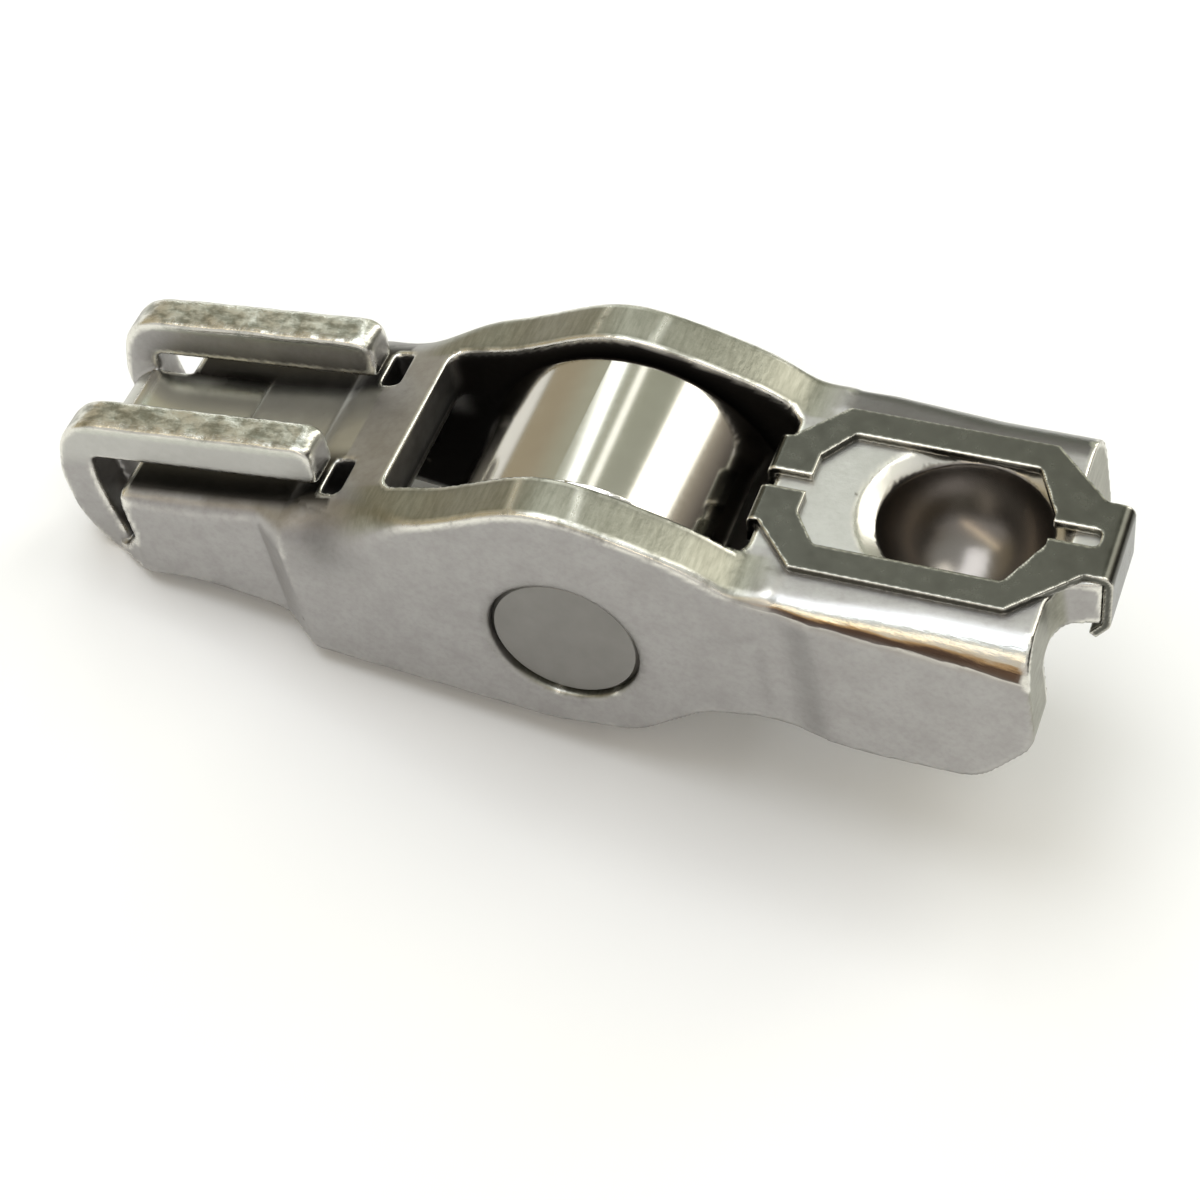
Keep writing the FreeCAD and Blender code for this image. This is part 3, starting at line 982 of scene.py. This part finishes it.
    def socket(self, skin: ArmSkin) -> tuple[np.ndarray, np.ndarray]:
        """Grade the ball socket.

        Args:
            skin: The arm's vertices.

        Returns:
            The ground lead-in with the bowl, and the bowl alone.
        """
        away = np.linalg.norm(skin.points - np.array(self.socket_mm), axis=1)
        ground = smooth_between(away, self.lead_in_mm + 0.4, self.lead_in_mm + 0.2)
        ground = ground * (skin.z < 5.6)
        bowl = ground * smooth_between(away, self.ball_mm + 0.15, self.ball_mm + 0.02)
        return ground, bowl

    def channel(self, skin: ArmSkin) -> np.ndarray:
        """Grade the painted shade inside the channel.

        Args:
            skin: The arm's vertices.

        Returns:
            1 on the walls' inner faces, the window's ends and the undersides.
        """
        at_pad = skin.x < 0
        in_window = np.abs(skin.x) < self.window_mm
        web_bottom = np.where(at_pad, 2.75, 4.6) - 0.11 * np.maximum(skin.x - self.window_mm, 0)
        under_web = skin.z < web_bottom
        walls = smooth_between(skin.inward, 0.3, 0.6) * (in_window | under_web)
        to_pin = smooth_between(-np.sign(skin.x) * skin.normals[:, 0], 0.3, 0.6)
        at_end = (np.abs(np.abs(skin.x) - self.window_mm) < 0.7) & (skin.side < 5.4)
        ends = to_pin * smooth_between(skin.z, 5.1, 4.85) * at_end
        between_walls = skin.side < np.where(at_pad, 3.95, 5.5)
        beneath = smooth_between(skin.up, 0.5, 0.3) * (between_walls & under_web & ~in_window)
        first, last = self.channel_mm
        return np.maximum(np.maximum(walls, ends), beneath) * (skin.x > first) * (skin.x < last)

    def pad_and_painted_light(self, skin: ArmSkin, ear_top: np.ndarray, ground: np.ndarray) -> np.ndarray:
        """Grade the ground pad, and the painted light on up-facing faces and the ears' outer faces.

        Args:
            skin: The arm's vertices.
            ear_top: Grade of the ears' tops.
            ground: Grade of the socket.

        Returns:
            1 on the pad, less on the faces given painted light.
        """
        level = smooth_between(skin.up, 0.9, 0.97)
        along_pad = smooth_between(skin.x, -19.3, -19.7) * smooth_between(skin.x, -26.6, -26.0)
        pad = along_pad * level * (skin.side < self.ear_gap_mm / 2)
        on_web = (skin.side < 5.2) & (skin.x < 0.2 - self.window_mm) & (skin.z < self.ear_foot_mm)
        web = smooth_between(skin.up, 0.6, 0.85) * on_web
        ear_face = (skin.x < self.ear_end_mm) * (skin.side > 4.9) * smooth_between(skin.z, 5.6, 6.6)
        by_socket = level * (skin.side < 4.2) * (skin.x > self.window_mm) * (1 - ground)
        pad_and_painted_light = 0.6 * ear_top + 0.5 * web + 0.3 * ear_face + 0.25 * by_socket
        return np.maximum(pad, np.clip(pad_and_painted_light, 0, 0.6))

    def painted_shade(self, skin: ArmSkin) -> np.ndarray:
        """Grade the painted shade in the corners: by the ears, the steps and the clip.

        Args:
            skin: The arm's vertices.

        Returns:
            How much painted shade each vertex gets, 0 to 1.
        """
        x, side, z, up = skin.x, skin.side, skin.z, skin.up
        by_ear = smooth_between(x, -28.5, -24.0) * (x < -12.2)
        ear_face = smooth_between(skin.inward, 0.4, 0.7) * (side < 3.6) * (z > 5.9)
        ear_face = ear_face * smooth_between(z, self.ear_top_mm - 0.2, self.ear_foot_mm)
        ear_foot = smooth_between(up, 0.2, 0.5) * (z < self.ear_foot_mm)
        ear_foot = ear_foot * smooth_between(side, 1.7, 3.0) * smooth_between(side, 6.4, 5.4)
        shoulder = self.shoulder_shade.cover(x, z) * smooth_between(side, 5.2, 6.4)
        step = self.wall_step.cover(x) * smooth_between(z, 4.4, 3.2) * (side > 7.0)
        far_side = smooth_between(skin.points[:, 1], 5.2, 5.9)
        by_clip = far_side * smooth_between(x, 10.6, 12.3) * smooth_between(up, 0.3, 0.7)
        outer = smooth_between(side, 6.8, 7.2)
        press_side = self.press_side.cover(x) * (z < 1.6) * smooth_between(z, -3.2, -1.5)
        above_line = z - self.press_top_slope * (x - self.press_top_from_mm)
        press_top = self.press_top.cover(above_line) * smooth_between(x, 5.5, 9.5) * (x < 10.6)
        painted_shades = (
            (0.9, by_ear * ear_face),
            (1.0, by_ear * ear_foot),
            (0.8, self.by_slit(skin, self.slit_shade)),
            (0.45, shoulder),
            (0.26, step),
            (0.7, by_clip),
            (0.4, outer * self.pin_ring_shade.cover(np.hypot(x, z))),
            (0.12, outer * press_side),
            (0.096, outer * press_top),
        )
        return np.clip(sum(share * shade_part for share, shade_part in painted_shades), 0, 1)


@dataclass
class RollerBearing:
    """Pin, ring and full complement of needles."""

    axes: ArmAxes
    pin: TurnedSteel = TurnedSteel(
        "faced_pin_steel", "#8F8D89", "#7F7D79", roughness=0.4, ring_mm=0.2, ring_depth_mm=0.003,
    )
    ring: TurnedSteel = TurnedSteel(
        "ground_ring_steel", "#CDCAC3", "#C2BEB6", roughness=0.12, ring_mm=0.12, ring_depth_mm=0.0006,
    )
    needle: TurnedSteel = TurnedSteel(
        "ground_needle_steel", "#C4C1BA", "#B8B5AE", roughness=0.15, ring_mm=0.12, ring_depth_mm=0.001,
    )

    def build(self) -> list[bpy.types.Object]:
        """Give the pin, the ring and the needles their finishes.

        Returns:
            The dressed nodes.
        """
        finishes = {"roller_pin": self.pin, "roller_ring": self.ring, "needle": self.needle}
        made = {key: finish.make(self.axes) for key, finish in finishes.items()}
        dressed = []
        for name, node in sorted(frame["nodes"].items()):
            key = "needle" if name.startswith("needle") else name
            if key in made:
                dress(node, made[key])
                dressed.append(node)
        return dressed


@dataclass
class SpringClip:
    """The octagonal spring clip round the ball socket."""

    axes: ArmAxes
    tumbling: Tumbling = Tumbling(grain_mm=0.09, sharpness=1.0, passes=2)
    window_leg_mm: float = 11.0
    web_top_mm: float = 4.9
    edge_bulge_mm: tuple[float, float] = (0.012, 0.034)

    def build(self) -> bpy.types.Object:
        """Make the clip's mesh and give it its finish.

        Returns:
            The dressed clip.
        """
        piece = self.tumbling.copy("retaining_clip")
        edges = smooth_between(edge_sharpness(piece.data), *self.edge_bulge_mm)
        x, _, z = self.axes.to_arm(vertex_points(piece.data)).T
        # Painted shade on the leg inside the window, and painted highlight on the edges above it
        in_window = smooth_between(x, self.window_leg_mm, self.window_leg_mm - 0.5)
        painted_shade = in_window * smooth_between(z, self.web_top_mm, self.web_top_mm - 0.4)
        keep_grade(piece.data, Wear.PAINTED_SHADE, painted_shade)
        keep_grade(piece.data, Wear.RIM, edges * (1 - painted_shade))
        dress(piece, TemperedSpringStrip().make())
        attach(piece, "arm")
        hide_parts("retaining_clip")
        return piece


@dataclass(frozen=True)
class Softbox:
    """One flat softbox that faces the follower."""

    name: str
    way: tuple[float, float, float]
    distance_m: float
    width_m: float
    length_m: float
    radiance: float
    colour: str

    def hang(self, target: Vector) -> None:
        """Hang the softbox, its width level with the bench.

        Args:
            target: Point in metres that it faces.
        """
        lamp = bpy.data.lights.new(self.name, "AREA")
        lamp.shape = "RECTANGLE"
        lamp.size = self.width_m
        lamp.size_y = self.length_m
        lamp.energy = self.radiance * math.pi * self.width_m * self.length_m
        lamp.color = linear(self.colour)[:3]
        holder = bpy.data.objects.new(self.name, lamp)
        out = Vector(self.way).normalized()
        holder.location = target + out * self.distance_m
        holder.rotation_euler = (-out).to_track_quat("-Z", "Y").to_euler()
        bpy.context.scene.collection.objects.link(holder)


@dataclass
class Studio:
    """Pale floor, soft light and the photograph's camera."""

    camera_m: tuple[float, float, float] = (0.00485, -0.09368, 0.10705)
    camera_deg: tuple[float, float, float] = (38.199, -4.849, 19.558)
    lens_mm: float = 87.77
    sensor_mm: float = 36.0
    seen_m: tuple[float, float] = (0.005, 20.0)
    target_m: tuple[float, float, float] = (-0.018, 0.0, -0.008)
    floor_half_m: float = 3.0
    softboxes: tuple[Softbox, ...] = (
        Softbox("overhead", (-0.35, 0.0, 0.93), 0.5, 0.40, 0.26, 3.0, "#F4F8FF"),
        Softbox("front_strip", (-0.31, -0.66, 0.70), 0.6, 0.7, 0.05, 3.4, "#FFEBC8"),
        Softbox("back_strip_left", (-0.44, 0.65, 0.62), 0.6, 0.045, 0.8, 2.6, "#F8FDFF"),
        Softbox("back_strip_middle", (-0.25, 0.65, 0.72), 0.6, 0.035, 0.8, 1.7, "#FAFBF8"),
        Softbox("back_panel_right", (0.33, 0.65, 0.685), 0.6, 0.20, 0.8, 3.0, "#FFFEF6"),
    )
    # The room's own light from left to right, then in front and overhead
    room_colours: tuple[tuple[float, str], ...] = (
        (0.0, "#BDB08F"), (0.14, "#BDB29A"), (0.22, "#C4C7B4"), (0.56, "#B2B6A4"),
        (0.775, "#B0A797"), (0.82, "#857E76"), (0.855, "#3A3633"), (1.0, "#262322"),
    )
    front_colour: str = "#E0DEDC"
    overhead_colour: str = "#E4E6E2"

    def build(self) -> None:
        """Place the floor, the room, the lights and the camera."""
        bpy.context.scene.view_settings.view_transform = "Standard"
        self.make_floor()
        self.make_room()
        for softbox in self.softboxes:
            softbox.hang(Vector(self.target_m))
        self.make_camera()

    def make_floor(self) -> None:
        """Lay the pale floor under the follower."""
        lowest = cad_box[0].z
        corners = [(x * self.floor_half_m, y * self.floor_half_m, lowest)
                   for x, y in ((-1, -1), (1, -1), (1, 1), (-1, 1))]
        mesh = bpy.data.meshes.new("floor")
        mesh.from_pydata(corners, [], [(0, 1, 2, 3)])
        floor = bpy.data.objects.new("floor", mesh)
        bpy.context.scene.collection.objects.link(floor)
        dress(floor, MattPaper().make())

    def make_room(self) -> None:
        """Make the room's own light.

        It is olive grey behind the follower, beige low on the left, nearly
        black on the right, and pale in front and overhead.
        """
        world = bpy.data.worlds.new("room")
        bpy.context.scene.world = world
        world.use_nodes = True
        tree = world.node_tree
        tree.nodes.clear()
        way = add_node(tree, "ShaderNodeTexCoord").outputs["Generated"]
        axes = add_node(tree, "ShaderNodeSeparateXYZ", inputs={0: way})
        across = add_node(tree, "ShaderNodeMapRange", inputs={
            "Value": axes.outputs["X"], "From Min": -1.0,
        }).outputs["Result"]
        walls = add_node(tree, "ShaderNodeValToRGB", inputs={0: across})
        spread_ramp(walls, list(self.room_colours))
        room = walls.outputs[0]
        for axis, low, high, colour in (
            ("Y", -0.25, -0.75, self.front_colour),
            ("Z", 0.72, 0.95, self.overhead_colour),
        ):
            amount = add_node(
                tree, "ShaderNodeMapRange", {"interpolation_type": "SMOOTHSTEP"},
                {"Value": axes.outputs[axis], "From Min": low, "From Max": high},
            ).outputs["Result"]
            room = add_node(
                tree, "ShaderNodeMix", {"data_type": "RGBA"}, {0: amount, 6: room, 7: linear(colour)},
            ).outputs[2]
        shine = add_node(tree, "ShaderNodeBackground", inputs={0: room, "Strength": 1.0})
        add_node(tree, "ShaderNodeOutputWorld", inputs={0: shine.outputs[0]})

    def make_camera(self) -> None:
        """Set up the camera that took the photograph's view."""
        data = bpy.data.cameras.new("camera")
        data.lens = self.lens_mm
        data.sensor_width = self.sensor_mm
        data.clip_start, data.clip_end = self.seen_m
        camera = bpy.data.objects.new("camera", data)
        camera.location = self.camera_m
        camera.rotation_euler = [math.radians(a) for a in self.camera_deg]
        bpy.context.scene.collection.objects.link(camera)
        bpy.context.scene.camera = camera


def main() -> None:
    """Build the follower's looks in order and report each piece."""
    logging.basicConfig(level=logging.INFO, format="%(name)s: %(message)s")
    axes = ArmAxes.from_record(frame["record"], frame["joints"])
    arm = StampedArm(axes).build()
    log.info("%s: %d faces", arm.name, len(arm.data.polygons))
    for node in RollerBearing(axes).build():
        log.info("%s: finish %s", node.name, node.data.materials[0].name)
    clip = SpringClip(axes).build()
    log.info("%s: %d faces", clip.name, len(clip.data.polygons))
    Studio().build()


if __name__ == "__main__":
    main()
